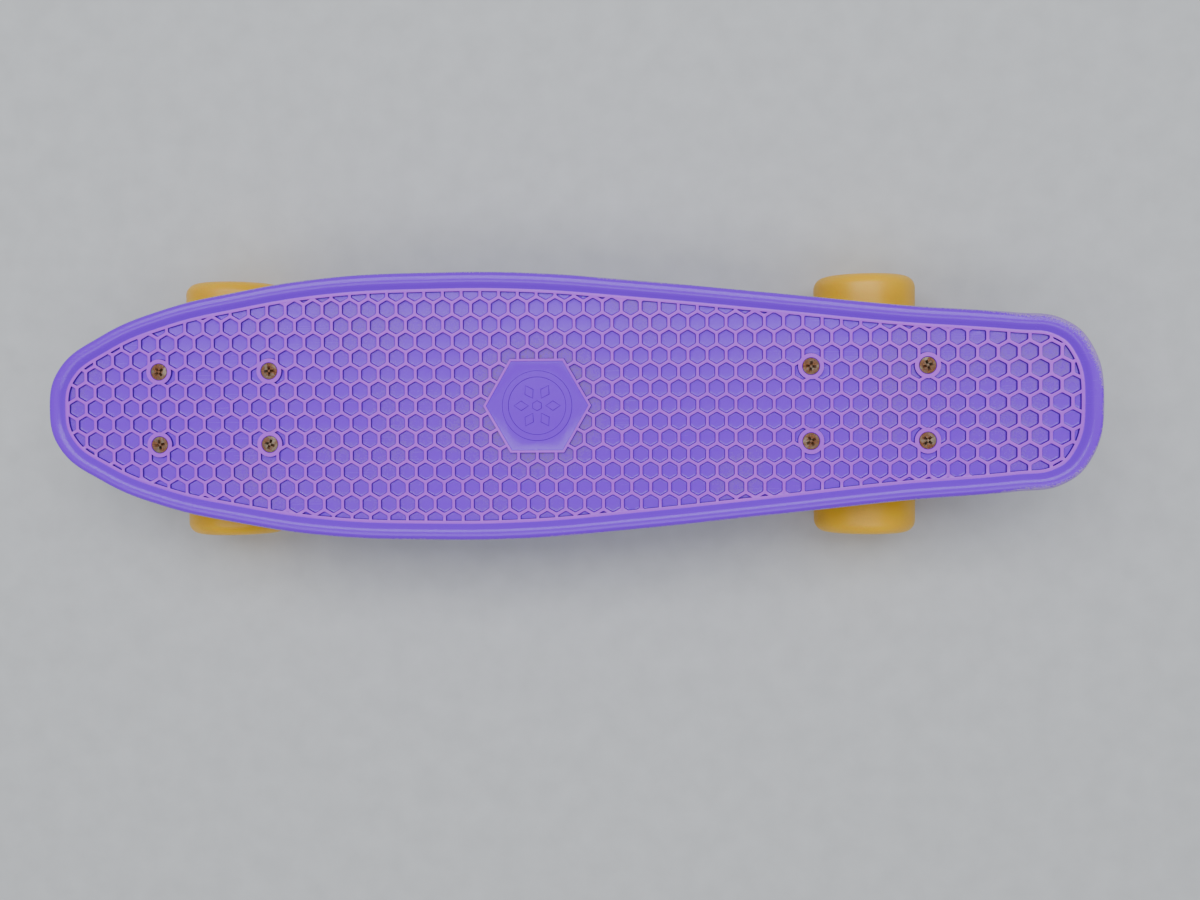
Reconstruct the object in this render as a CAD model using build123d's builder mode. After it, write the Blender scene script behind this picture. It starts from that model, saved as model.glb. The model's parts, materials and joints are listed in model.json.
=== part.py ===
"""Plastic cruiser skateboard: a moulded deck on two cast trucks with four urethane wheels.

Millimetres. +X runs from nose to tail, +Y to the left of a rider facing the nose, +Z up.
The origin is under the middle of the board, on the ground. Both trucks are the same
assembly, turned end for end, so every truck piece is modelled once in the truck's own
frame (X towards the middle of the board, Z = 0 on the deck's underside) and placed twice.
"""

import os
from math import atan2, cos, degrees, radians, sin, tan

from build123d import *

os.makedirs("parts", exist_ok=True)

# Driving dimensions of the whole board
WHEEL_RADIUS = 29.5
TRUCK_SPACING = 367.0  # between the centres of the two bolt patterns
TRUCKS_OFFSET = -12.5  # the trucks' midpoint, ahead of the deck's midpoint
BOLT_SPACING_X = 63.5
BOLT_SPACING_Y = 41.3
PAD_Z = 76.0  # underside of the deck's truck pads, where the baseplates sit
TOP_Z = 85.5  # the foot surface

# Deck shell
RIM_RISE = 2.5  # height of the rim's crest over the foot surface
RIM_WIDTH = 11.0
SKIRT_Z = 74.5
WALL = 3.6
PLATE = 4.0
KICK_X = 223.0  # where the tail starts to rise
KICK_ANGLE = 15.0
KICK_RADIUS = 60.0
RIB = 2.4
RIB_Z = 77.0
RIB_PITCH = 34.0
RIB_ANGLE = 40.0
RIB_COUNT = 15
PAD_SIZE = (92.0, 60.0)
PAD_CORNER = 9.0
BADGE_ACROSS_CORNERS = 60.4
BADGE_BORDER = 1.6
BADGE_DEPTH = 0.8
BADGE_RING = (19.4, 16.2)
BADGE_DOTS_CIRCLE = 11.5
BADGE_DOT = 2.6
BADGE_CENTRE = 5.0

OUTLINE_STEPS = 60  # points that carry the outline when it is taken in

# Half-widths along the deck, measured from the trucks' midpoint, nose to tail
OUTLINE = [
    (-279.22, 0.0),
    (-273.6, 22.4),
    (-248.8, 41.4),
    (-213.8, 55.6),
    (-170.5, 65.2),
    (-120.0, 72.6),
    (-60.0, 75.0),
    (-5.0, 74.2),
    (55.0, 69.2),
    (125.0, 62.0),
    (200.0, 53.9),
    (262.0, 48.6),
    (284.5, 44.6),
    (297.8, 32.0),
    (304.5, 0.0),
]

# Mounting hardware
BOLT_RADIUS = 2.5
BOLT_CLEARANCE = 0.25
HEAD_RADIUS = 4.7
HEAD_ANGLE = 82.0
HEAD_SINK = 0.2
BOLT_END_Z = 60.0
CROSS_WIDTH = 1.0
CROSS_LENGTH = 5.2
CROSS_DEPTH = 1.8
CROSS_DRAFT = 12.0
BOLT_CHAMFER = 0.6
LOCKNUT_FLATS = 9.5
LOCKNUT_HEIGHT = 5.0
NUT_CHAMFER = 0.5

# Baseplate, in the truck's frame
PLATE_THICKNESS = 5.0
PLATE_X = (-43.0, 46.0)
PLATE_WIDTH = 56.0
PLATE_CORNER = 9.0
PLATE_FILLET = 1.5
BRIDGE_X = -6.0  # middle of the thick web that joins the pivot housing to the kingpin's boss
BRIDGE_SIZE = (56.0, 24.0)
BRIDGE_CORNER = 8.0
BRIDGE_HEIGHT = 3.0
BRIDGE_DRAFT = 12.0

# Steering geometry, in the truck's frame: the pivot ball and the middle of the hanger's ring
AXLE_X = -5.5
AXLE_Z = WHEEL_RADIUS - PAD_Z
PIVOT = (-22.0, -12.0)
RING = (19.0, -34.0)
STEER_ANGLE = degrees(atan2(PIVOT[1] - RING[1], RING[0] - PIVOT[0]))
KINGPIN_ANGLE = 22.0
PIVOT_RADIUS = 6.0
STEM_RADIUS = 5.0
STEM_LENGTH = 16.0
CUP_WALL = 1.5
CUP_MOUTH = 5.0  # from the ball's centre to the cup's open end
CUP_GAP = 0.08
HOUSING_WALL = 2.8

# Bushing stack, as distances along the kingpin from the middle of the ring, towards the nut
BOARD_SEAT = -17.0
RING_HALF = 4.0
SEAT_DEPTH = 1.0
ROAD_TOP = 12.5
WASHER_THICKNESS = 1.6
KINGPIN_RADIUS = 4.76
KINGPIN_END = 25.0
KINGPIN_HEAD = (-33.0, -27.0)
KINGPIN_HEAD_RADIUS = 8.0
HEAD_GAP = 0.05
HEAD_ROOM = 9.0  # pocket over the kingpin's head, open at the top of the plate
THREAD_CHAMFER = 0.8
KINGPIN_BORE = 4.86
BUSHING_RADIUS = 12.2
ROAD_TAPER = 2.0
BUSHING_BORE = 5.0
SHOULDER_RADIUS = 8.0
SHOULDER_HEIGHT = 1.6
RING_RADIUS = 16.5
RING_HOLE = 8.6
SEAT_RADIUS = 12.6
BOSS_RADIUS = 13.2
BOSS_TAPER = 3.0
BOSS_REACH = 26.0  # from the boss's end into the plate
WASHER_RADIUS = 13.2
WASHER_LIP = 1.0
HANGER_MIDDLE_RADIUS = 11.5
HANGER_END_RADIUS = 7.5
HANGER_WAIST = 10.0  # half-length of the thick middle of the axle housing
HANGER_CHAMFER = 0.8
YOKE_WIDTH = 12.0
YOKE_PROFILE = [
    (-12.5, -17.0),
    (-6.0, -15.6),
    (-2.8, -22.7),
    (2.0, -30.5),
    (5.1, -35.3),
    (8.1, -42.7),
    (2.0, -52.0),
    (-9.0, -54.0),
    (-15.0, -46.0),
]
WING_PROFILE = [(-34, 0), (-34, 5), (-9, 24), (9, 24), (34, 5), (34, 0)]
WING_THICKNESS = 7.0
WING_LEAN = 3.4
KINGNUT_FLATS = 14.3
KINGNUT_HEIGHT = 8.0

# Axle line, as distances along Y from the middle of the truck
HANGER_HALF = 39.7
AXLE_RADIUS = 4.0
SPEED_RING = 1.0
SPEED_RING_RADIUS = 6.0
BEARING_WIDTH = 7.0
BEARING_RADIUS = 11.0
INNER_RING_RADIUS = 6.0
OUTER_RING_BORE = 9.4
BALL_RADIUS = 1.98
BALL_CIRCLE = 7.7
BALL_COUNT = 7
RACE_GAP = 0.05
RACE_CHAMFER = 0.3
SHIELD_GAP = 0.15
SHIELD_SINK = 0.2
SHIELD_THICKNESS = 0.4
SPACER_LENGTH = 10.0
SPACER_RADIUS = 5.6
AXLE_NUT_FLATS = 13.0
AXLE_NUT_HEIGHT = 7.0
AXLE_PROUD = 1.5
CAGE_WIDTH = 4.6
CAGE_THICKNESS = 1.2
WHEEL_WIDTH = 45.0
LIP_RADIUS = 7.0
HUB_BORE = 9.0
FACE_RECESS_RADIUS = 17.0
WHEEL_Y = HANGER_HALF + SPEED_RING + BEARING_WIDTH + SPACER_LENGTH / 2
AXLE_HALF = WHEEL_Y + SPACER_LENGTH / 2 + BEARING_WIDTH + SPEED_RING + AXLE_NUT_HEIGHT + AXLE_PROUD

TRUCKS = {
    "nose": Location((TRUCKS_OFFSET - TRUCK_SPACING / 2, 0, 0)),
    "tail": Location((TRUCKS_OFFSET + TRUCK_SPACING / 2, 0, 0), (0, 0, 180)),
}
SIDES = {"left": 1, "right": -1}
LIFT = Location((0, 0, PAD_Z))

kick_run = KICK_RADIUS * sin(radians(KICK_ANGLE))
kick_rise = KICK_RADIUS * (1 - cos(radians(KICK_ANGLE)))
kick_slope = tan(radians(KICK_ANGLE))
FAR = 400.0
TALL = 200.0


def save(part, name, place=Location()):
    """Writes one node at its place."""
    piece = place * part
    piece.label = name
    export_step(piece, f"parts/{name}.step")


def save_on_trucks(part, name):
    """Writes a truck piece once for each truck."""
    for end, place in TRUCKS.items():
        save(part, f"{end}_{name}", place * LIFT)


def save_on_wheels(part, name):
    """Writes a piece modelled about the wheel's centre once for each wheel. Its outboard side is +Y."""
    for end, place in TRUCKS.items():
        for side, sign in SIDES.items():
            outward = sign if end == "nose" else -sign
            turn = Location((0, 0, 0), (0, 0, 0 if outward > 0 else 180))
            spot = Location((AXLE_X, outward * WHEEL_Y, WHEEL_RADIUS))
            save(part, f"{end}_{side}_{name}", place * spot * turn)


def deck_outline(inset=0.0):
    """The deck's plan outline as a face on the ground plane, taken in by inset."""
    near_side = [(x + TRUCKS_OFFSET, y) for x, y in OUTLINE]
    far_side = [(x, -y) for x, y in reversed(near_side[1:-1])]
    loop = Edge.make_spline([Vector(*point) for point in near_side + far_side], periodic=True)
    corners = []
    for step in range(OUTLINE_STEPS):
        heading = loop % (step / OUTLINE_STEPS)
        corners.append(loop @ (step / OUTLINE_STEPS) + Vector(heading.Y, -heading.X) * inset)
    with BuildSketch() as sketch:
        with BuildLine():
            Spline(*corners, periodic=True)
        make_face()
    return sketch.sketch


def side_band(low, high):
    """A slab across the board between two heights, which both follow the kick of the tail."""
    with BuildPart() as slab:
        with BuildSketch(Plane.XZ):
            with BuildLine():
                for height in (low, high):
                    run_end = (KICK_X + kick_run, height + kick_rise)
                    tip = (FAR, height + kick_rise + (FAR - KICK_X - kick_run) * kick_slope)
                    Line((-FAR, height), (KICK_X, height))
                    TangentArc((KICK_X, height), run_end, tangent=(1, 0))
                    Line(run_end, tip)
                Line((-FAR, low), (-FAR, high))
                Line(
                    (FAR, low + kick_rise + (FAR - KICK_X - kick_run) * kick_slope),
                    (FAR, high + kick_rise + (FAR - KICK_X - kick_run) * kick_slope),
                )
            make_face()
        extrude(amount=TALL, both=True)
    return slab.part


def truck_plane(point, angle):
    """A plane whose normal leans from straight down by angle, towards the board's middle."""
    lean = radians(angle)
    return Plane(origin=(point[0], 0, point[1]), x_dir=(0, 1, 0), z_dir=(sin(lean), 0, -cos(lean)))


KINGPIN_LINE = truck_plane(RING, KINGPIN_ANGLE)
AXLE_LINE = Plane(origin=(AXLE_X, 0, AXLE_Z), x_dir=(1, 0, 0), z_dir=(0, 1, 0))
STEER_SIDE = Plane(
    origin=(PIVOT[0], 0, PIVOT[1]),
    x_dir=(cos(radians(STEER_ANGLE)), 0, -sin(radians(STEER_ANGLE))),
    z_dir=(0, -1, 0),
)
STEER_AXIS = Axis(STEER_SIDE.origin, STEER_SIDE.x_dir)
AXLE_SIDE = Plane(origin=(AXLE_X, 0, AXLE_Z), x_dir=(0, 1, 0), z_dir=(1, 0, 0))
AXLE_AXIS = Axis(AXLE_SIDE.origin, AXLE_SIDE.x_dir)
WHEEL_SIDE = Plane.YZ
WHEEL_AXIS = Axis.Y


def bolt_corners():
    """The four bolt positions of one truck."""
    return GridLocations(BOLT_SPACING_X, BOLT_SPACING_Y, 2, 2)


def tube(plane, start, end, outer, inner=0.0):
    """A round bar or tube along a plane's normal, from start to end."""
    with BuildPart() as piece:
        with BuildSketch(plane.offset(start)):
            Circle(outer)
            if inner:
                Circle(inner, mode=Mode.SUBTRACT)
        extrude(amount=end - start)
    return piece.part


def turned(profile, plane, axis):
    """A turned piece from a closed profile of (along, radius) points on the plane holding the axis."""
    with BuildPart() as piece:
        with BuildSketch(plane):
            with BuildLine():
                Polyline(*profile, close=True)
            make_face()
        revolve(axis=axis)
    return piece.part


def round_nose(radius, length):
    """A rod along the steering axis from a half-ball about the pivot's centre."""
    with BuildPart() as piece:
        with BuildSketch(STEER_SIDE):
            with BuildLine():
                CenterArc((0, 0), radius, 90, 90)
                Polyline((0, radius), (length, radius), (length, 0), (-radius, 0))
            make_face()
        revolve(axis=STEER_AXIS)
    return piece.part


def make_deck():
    """A shallow tray with a raised rim, a rising tail, underside ribs, truck pads and a badge panel."""
    inner_face = deck_outline(WALL)
    field_face = deck_outline(RIM_WIDTH)
    truck_spots = [place.position.X for place in TRUCKS.values()]

    with BuildPart() as foot_well:
        with BuildSketch():
            add(field_face)
        extrude(amount=TALL)
        add(side_band(TOP_Z, TOP_Z + TALL / 4), mode=Mode.INTERSECT)

    with BuildPart() as hollow:
        with BuildSketch():
            add(inner_face)
        extrude(amount=TALL)
        add(side_band(SKIRT_Z - TALL / 4, TOP_Z - PLATE), mode=Mode.INTERSECT)

    with BuildPart() as ribs:
        with BuildSketch() as bars:
            for angle in (-RIB_ANGLE, RIB_ANGLE):
                with Locations(Rotation(0, 0, angle)):
                    with GridLocations(0, RIB_PITCH, 1, RIB_COUNT):
                        Rectangle(2 * FAR, RIB)
            with Locations((0, 0)):
                Rectangle(2 * FAR, RIB)
        extrude(amount=TALL)
        add(side_band(RIB_Z, TOP_Z - PLATE), mode=Mode.INTERSECT)
        with BuildPart(mode=Mode.INTERSECT):
            with BuildSketch():
                add(inner_face)
            extrude(amount=TALL)

    with BuildPart() as pads:
        for x in truck_spots:
            with BuildSketch(Plane.XY.offset(PAD_Z)):
                with Locations((x, 0)):
                    RectangleRounded(*PAD_SIZE, PAD_CORNER)
            extrude(amount=TOP_Z - PLATE - PAD_Z)

    with BuildPart() as badge:
        with BuildSketch(Plane.XY.offset(TOP_Z - BADGE_DEPTH)):
            with Locations((TRUCKS_OFFSET, 0)):
                RegularPolygon(BADGE_ACROSS_CORNERS / 2 - BADGE_BORDER, 6)
                Circle(BADGE_RING[0], mode=Mode.SUBTRACT)
                Circle(BADGE_RING[1])
                with PolarLocations(BADGE_DOTS_CIRCLE, 6):
                    Circle(BADGE_DOT, mode=Mode.SUBTRACT)
                RegularPolygon(BADGE_CENTRE, 6, mode=Mode.SUBTRACT)
        extrude(amount=BADGE_DEPTH)

    with BuildPart() as deck:
        with BuildSketch():
            add(deck_outline())
        extrude(amount=TALL)
        add(side_band(SKIRT_Z, TOP_Z + RIM_RISE), mode=Mode.INTERSECT)
        add(foot_well.part, mode=Mode.SUBTRACT)
        add(hollow.part, mode=Mode.SUBTRACT)
        add(ribs.part)
        add(pads.part)
        add(badge.part, mode=Mode.SUBTRACT)
        for x in truck_spots:
            with Locations((x, 0, TOP_Z)):
                with bolt_corners():
                    CounterSinkHole(
                        BOLT_RADIUS + BOLT_CLEARANCE,
                        HEAD_RADIUS + BOLT_CLEARANCE,
                        counter_sink_angle=HEAD_ANGLE,
                    )
    return deck.part


def make_mounting_bolts():
    head_z = TOP_Z - PAD_Z - HEAD_SINK
    head_height = (HEAD_RADIUS - BOLT_RADIUS) / tan(radians(HEAD_ANGLE / 2))
    with BuildPart() as bolt:
        with BuildSketch(Plane.XZ):
            with BuildLine():
                Polyline(
                    (0, head_z),
                    (HEAD_RADIUS, head_z),
                    (BOLT_RADIUS, head_z - head_height),
                    (BOLT_RADIUS, BOLT_END_Z - PAD_Z + BOLT_CHAMFER),
                    (BOLT_RADIUS - BOLT_CHAMFER, BOLT_END_Z - PAD_Z),
                    (0, BOLT_END_Z - PAD_Z),
                    close=True,
                )
            make_face()
        revolve(axis=Axis.Z)
        with BuildSketch(Plane.XY.offset(head_z)):
            Rectangle(CROSS_LENGTH, CROSS_WIDTH)
            Rectangle(CROSS_WIDTH, CROSS_LENGTH)
        extrude(amount=-CROSS_DEPTH, taper=CROSS_DRAFT, mode=Mode.SUBTRACT)
    with BuildPart() as bolts:
        with bolt_corners():
            add(bolt.part)
    return bolts.part


def make_mounting_nuts():
    with BuildPart() as nuts:
        with BuildSketch(Plane.XY.offset(-PLATE_THICKNESS - LOCKNUT_HEIGHT)):
            with bolt_corners():
                RegularPolygon(LOCKNUT_FLATS / 2, 6, major_radius=False)
                Circle(BOLT_RADIUS, mode=Mode.SUBTRACT)
        extrude(amount=LOCKNUT_HEIGHT)
        rims = nuts.edges().filter_by(GeomType.LINE).filter_by(Plane.XY).group_by(Axis.Z)[0]
        chamfer(rims, length=NUT_CHAMFER)
    return nuts.part


def make_baseplate():
    boss_end = BOARD_SEAT - WASHER_THICKNESS
    with BuildPart() as baseplate:
        with BuildSketch(Plane.XY.offset(-PLATE_THICKNESS)):
            with Locations(((PLATE_X[0] + PLATE_X[1]) / 2, 0)):
                RectangleRounded(PLATE_X[1] - PLATE_X[0], PLATE_WIDTH, PLATE_CORNER)
        extrude(amount=PLATE_THICKNESS)
        fillet(baseplate.faces().sort_by(Axis.Z)[0].edges(), radius=PLATE_FILLET)
        with BuildSketch(Plane.XY.offset(-PLATE_THICKNESS)):
            with Locations((BRIDGE_X, 0)):
                RectangleRounded(*BRIDGE_SIZE, BRIDGE_CORNER)
        extrude(amount=-BRIDGE_HEIGHT, taper=BRIDGE_DRAFT)
        with BuildSketch(KINGPIN_LINE.offset(boss_end)):
            Circle(BOSS_RADIUS)
        extrude(amount=-BOSS_REACH, taper=-BOSS_TAPER)
        add(round_nose(PIVOT_RADIUS + CUP_GAP + CUP_WALL + HOUSING_WALL, CUP_MOUTH - 0.5))
        split(bisect_by=Plane.XY, keep=Keep.BOTTOM)
        add(round_nose(PIVOT_RADIUS + CUP_GAP + CUP_WALL, CUP_MOUTH + 1), mode=Mode.SUBTRACT)
        add(tube(KINGPIN_LINE, KINGPIN_HEAD[0] - HEAD_ROOM, KINGPIN_HEAD[1], KINGPIN_HEAD_RADIUS), mode=Mode.SUBTRACT)
        add(tube(KINGPIN_LINE, KINGPIN_HEAD[1], 0, KINGPIN_BORE), mode=Mode.SUBTRACT)
        with BuildSketch(Plane.XY.offset(-PLATE_THICKNESS)):
            with bolt_corners():
                Circle(BOLT_RADIUS + BOLT_CLEARANCE)
        extrude(amount=PLATE_THICKNESS, mode=Mode.SUBTRACT)
    return baseplate.part


def make_pivot_cup():
    with BuildPart() as cup:
        add(round_nose(PIVOT_RADIUS + CUP_GAP + CUP_WALL, CUP_MOUTH))
        add(round_nose(PIVOT_RADIUS + CUP_GAP, CUP_MOUTH + 1), mode=Mode.SUBTRACT)
    return cup.part


def make_kingpin():
    with BuildPart() as kingpin:
        add(tube(KINGPIN_LINE, KINGPIN_HEAD[0], KINGPIN_HEAD[1], KINGPIN_HEAD_RADIUS - HEAD_GAP))
        add(tube(KINGPIN_LINE, KINGPIN_HEAD[1], KINGPIN_END, KINGPIN_RADIUS))
        tip = kingpin.faces().sort_by(Axis(KINGPIN_LINE.origin, KINGPIN_LINE.z_dir))[-1]
        chamfer(tip.edges(), length=THREAD_CHAMFER)
    return kingpin.part


def hex_nut(plane, start, flats, height, bore):
    """A chamfered hexagon nut along a plane's normal."""
    with BuildPart() as nut:
        with BuildSketch(plane.offset(start)):
            RegularPolygon(flats / 2, 6, major_radius=False)
        extrude(amount=height)
        rims = nut.edges().filter_by(Axis(plane.origin, plane.z_dir), reverse=True)
        chamfer(rims, length=NUT_CHAMFER)
        add(tube(plane, start, start + height, bore), mode=Mode.SUBTRACT)
    return nut.part


def make_kingpin_nut():
    return hex_nut(KINGPIN_LINE, ROAD_TOP + WASHER_THICKNESS, KINGNUT_FLATS, KINGNUT_HEIGHT, KINGPIN_RADIUS)


def kingpin_turned(profile):
    """A piece turned about the kingpin from (along, radius) points."""
    side = Plane(origin=KINGPIN_LINE.origin, x_dir=KINGPIN_LINE.z_dir, z_dir=(0, 1, 0))
    return turned(profile, side, Axis(KINGPIN_LINE.origin, KINGPIN_LINE.z_dir))


def make_board_bushing():
    seat = SEAT_DEPTH - RING_HALF
    return kingpin_turned([
        (BOARD_SEAT, BUSHING_BORE),
        (BOARD_SEAT, BUSHING_RADIUS - 1.2),
        (BOARD_SEAT + 1.2, BUSHING_RADIUS),
        (seat - 1.0, BUSHING_RADIUS),
        (seat, BUSHING_RADIUS - 0.8),
        (seat, SHOULDER_RADIUS),
        (seat + SHOULDER_HEIGHT, SHOULDER_RADIUS - 0.5),
        (seat + SHOULDER_HEIGHT, BUSHING_BORE),
    ])


def make_road_bushing():
    seat = RING_HALF - SEAT_DEPTH
    return kingpin_turned([
        (seat - SHOULDER_HEIGHT, BUSHING_BORE),
        (seat - SHOULDER_HEIGHT, SHOULDER_RADIUS - 0.5),
        (seat, SHOULDER_RADIUS),
        (seat, BUSHING_RADIUS - 0.8),
        (seat + 1.0, BUSHING_RADIUS),
        (ROAD_TOP - 1.0, BUSHING_RADIUS - ROAD_TAPER),
        (ROAD_TOP, BUSHING_RADIUS - ROAD_TAPER - 1.0),
        (ROAD_TOP, BUSHING_BORE),
    ])


def make_cup_washers():
    """The two cupped washers of a truck: one on the baseplate's boss, one under the nut."""
    with BuildPart() as washers:
        for face, away, radius in ((BOARD_SEAT, -1, WASHER_RADIUS), (ROAD_TOP, 1, WASHER_RADIUS - ROAD_TAPER)):
            add(kingpin_turned([
                (face, KINGPIN_BORE),
                (face, radius - 1.0),
                (face - away * WASHER_LIP, radius - 0.6),
                (face - away * WASHER_LIP, radius),
                (face + away * WASHER_THICKNESS / 2, radius),
                (face + away * WASHER_THICKNESS, radius - 1.4),
                (face + away * WASHER_THICKNESS, KINGPIN_BORE),
            ]))
    return washers.part


def make_hanger():
    wing_slope = radians(WING_LEAN)
    wing = Plane(origin=(AXLE_X, 0, AXLE_Z), x_dir=(0, 1, 0), z_dir=(cos(wing_slope), 0, sin(wing_slope)))
    with BuildPart() as hanger:
        add(round_nose(PIVOT_RADIUS, 4.0))
        add(round_nose(STEM_RADIUS, STEM_LENGTH))
        with BuildSketch(Plane.XZ):
            with BuildLine():
                Polyline(*YOKE_PROFILE, close=True)
            make_face()
        extrude(amount=YOKE_WIDTH / 2, both=True)
        with BuildSketch(wing):
            with BuildLine():
                Polyline(*WING_PROFILE, close=True)
            make_face()
        extrude(amount=WING_THICKNESS / 2, both=True)
        add(turned(
            [
                (-HANGER_HALF, 0),
                (-HANGER_HALF, HANGER_END_RADIUS - HANGER_CHAMFER),
                (-HANGER_HALF + HANGER_CHAMFER, HANGER_END_RADIUS),
                (-HANGER_WAIST, HANGER_MIDDLE_RADIUS),
                (HANGER_WAIST, HANGER_MIDDLE_RADIUS),
                (HANGER_HALF - HANGER_CHAMFER, HANGER_END_RADIUS),
                (HANGER_HALF, HANGER_END_RADIUS - HANGER_CHAMFER),
                (HANGER_HALF, 0),
            ],
            AXLE_SIDE,
            AXLE_AXIS,
        ))
        add(tube(KINGPIN_LINE, -RING_HALF, RING_HALF, RING_RADIUS))
        add(tube(KINGPIN_LINE, -RING_HALF, RING_HALF, RING_HOLE), mode=Mode.SUBTRACT)
        add(tube(KINGPIN_LINE, -RING_HALF, -RING_HALF + SEAT_DEPTH, SEAT_RADIUS), mode=Mode.SUBTRACT)
        add(tube(KINGPIN_LINE, RING_HALF - SEAT_DEPTH, RING_HALF, SEAT_RADIUS), mode=Mode.SUBTRACT)
        add(
            turned(
                [(-HANGER_HALF, 0), (-HANGER_HALF, AXLE_RADIUS), (HANGER_HALF, AXLE_RADIUS), (HANGER_HALF, 0)],
                AXLE_SIDE,
                AXLE_AXIS,
            ),
            mode=Mode.SUBTRACT,
        )
    return hanger.part


def make_axle():
    return turned(
        [
            (-AXLE_HALF, 0),
            (-AXLE_HALF, AXLE_RADIUS - THREAD_CHAMFER),
            (-AXLE_HALF + THREAD_CHAMFER, AXLE_RADIUS),
            (AXLE_HALF - THREAD_CHAMFER, AXLE_RADIUS),
            (AXLE_HALF, AXLE_RADIUS - THREAD_CHAMFER),
            (AXLE_HALF, 0),
        ],
        AXLE_SIDE,
        AXLE_AXIS,
    )


def make_axle_washers():
    outer = WHEEL_Y + SPACER_LENGTH / 2 + BEARING_WIDTH
    with BuildPart() as washers:
        for start in (HANGER_HALF, outer, -HANGER_HALF - SPEED_RING, -outer - SPEED_RING):
            add(tube(AXLE_LINE, start, start + SPEED_RING, SPEED_RING_RADIUS, AXLE_RADIUS))
    return washers.part


def make_axle_nuts():
    start = WHEEL_Y + SPACER_LENGTH / 2 + BEARING_WIDTH + SPEED_RING
    with BuildPart() as nuts:
        for side in (start, -start - AXLE_NUT_HEIGHT):
            add(hex_nut(AXLE_LINE, side, AXLE_NUT_FLATS, AXLE_NUT_HEIGHT, AXLE_RADIUS))
    return nuts.part


# Wheel and bearings, about the wheel's centre with the axle along Y
def make_wheel():
    half = WHEEL_WIDTH / 2
    seat = SPACER_LENGTH / 2
    mouth = seat + BEARING_WIDTH
    with BuildPart() as wheel:
        with BuildSketch(WHEEL_SIDE):
            with BuildLine():
                Polyline(
                    (0, HUB_BORE),
                    (seat, HUB_BORE),
                    (seat, BEARING_RADIUS),
                    (mouth, BEARING_RADIUS),
                    (mouth + 0.5, BEARING_RADIUS + 0.5),
                    (half - 3, FACE_RECESS_RADIUS - 2),
                    (half - 1, FACE_RECESS_RADIUS),
                    (half - 1, FACE_RECESS_RADIUS + 2),
                    (half, FACE_RECESS_RADIUS + 3),
                    (half, WHEEL_RADIUS - LIP_RADIUS),
                )
                CenterArc((half - LIP_RADIUS, WHEEL_RADIUS - LIP_RADIUS), LIP_RADIUS, 0, 90)
                Polyline((half - LIP_RADIUS, WHEEL_RADIUS), (0, WHEEL_RADIUS), (0, HUB_BORE))
            make_face()
            mirror(about=Plane.YZ)
        revolve(axis=WHEEL_AXIS)
    return wheel.part


def bearing_places():
    """The two bearings' centres along the wheel's axle."""
    reach = (SPACER_LENGTH + BEARING_WIDTH) / 2
    return [Location((0, -reach, 0)), Location((0, reach, 0))]


def both_bearings(single):
    with BuildPart() as pair:
        with Locations(*bearing_places()):
            add(single)
    return pair.part


def ball_track(radius):
    """The ring swept by the balls, grown to a given tube radius."""
    with BuildPart() as track:
        with BuildSketch(WHEEL_SIDE):
            with Locations((0, BALL_CIRCLE)):
                Circle(radius)
        revolve(axis=WHEEL_AXIS)
    return track.part


def make_outer_rings():
    half = BEARING_WIDTH / 2
    with BuildPart() as ring:
        add(turned(
            [
                (-half, OUTER_RING_BORE),
                (-half, BEARING_RADIUS - RACE_CHAMFER),
                (-half + RACE_CHAMFER, BEARING_RADIUS),
                (half - RACE_CHAMFER, BEARING_RADIUS),
                (half, BEARING_RADIUS - RACE_CHAMFER),
                (half, OUTER_RING_BORE),
            ],
            WHEEL_SIDE,
            WHEEL_AXIS,
        ))
        add(ball_track(BALL_RADIUS + RACE_GAP), mode=Mode.SUBTRACT)
    return both_bearings(ring.part)


def make_inner_rings():
    half = BEARING_WIDTH / 2
    with BuildPart() as ring:
        add(turned(
            [(-half, AXLE_RADIUS), (-half, INNER_RING_RADIUS), (half, INNER_RING_RADIUS), (half, AXLE_RADIUS)],
            WHEEL_SIDE,
            WHEEL_AXIS,
        ))
        add(ball_track(BALL_RADIUS + RACE_GAP), mode=Mode.SUBTRACT)
    return both_bearings(ring.part)


def make_balls():
    with BuildPart() as balls:
        with BuildPart(mode=Mode.PRIVATE) as ball:
            Sphere(BALL_RADIUS)
        with Locations(*bearing_places()):
            with Locations(Rotation(90, 0, 0)):
                with PolarLocations(BALL_CIRCLE, BALL_COUNT):
                    add(ball.part)
    return balls.part


def make_cages():
    half = CAGE_WIDTH / 2
    with BuildPart() as cage:
        add(turned(
            [
                (-half, BALL_CIRCLE - CAGE_THICKNESS / 2),
                (-half, BALL_CIRCLE + CAGE_THICKNESS / 2),
                (half, BALL_CIRCLE + CAGE_THICKNESS / 2),
                (half, BALL_CIRCLE - CAGE_THICKNESS / 2),
            ],
            WHEEL_SIDE,
            WHEEL_AXIS,
        ))
        for index in range(BALL_COUNT):
            angle = radians(360 * index / BALL_COUNT)
            outwards = (cos(angle), 0, sin(angle))
            with BuildSketch(Plane(origin=(0, 0, 0), x_dir=(0, 1, 0), z_dir=outwards)):
                Circle(BALL_RADIUS + RACE_GAP)
            extrude(amount=BEARING_RADIUS, mode=Mode.SUBTRACT)
    return both_bearings(cage.part)


def make_shields():
    """Four thin covers per wheel, one on each face of each bearing, standing clear of the inner ring."""
    half = BEARING_WIDTH / 2 - SHIELD_SINK
    with BuildPart() as pair:
        for start in (-half, half - SHIELD_THICKNESS):
            add(turned(
                [
                    (start, INNER_RING_RADIUS + SHIELD_GAP),
                    (start, OUTER_RING_BORE),
                    (start + SHIELD_THICKNESS, OUTER_RING_BORE),
                    (start + SHIELD_THICKNESS, INNER_RING_RADIUS + SHIELD_GAP),
                ],
                WHEEL_SIDE,
                WHEEL_AXIS,
            ))
    return both_bearings(pair.part)


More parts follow.
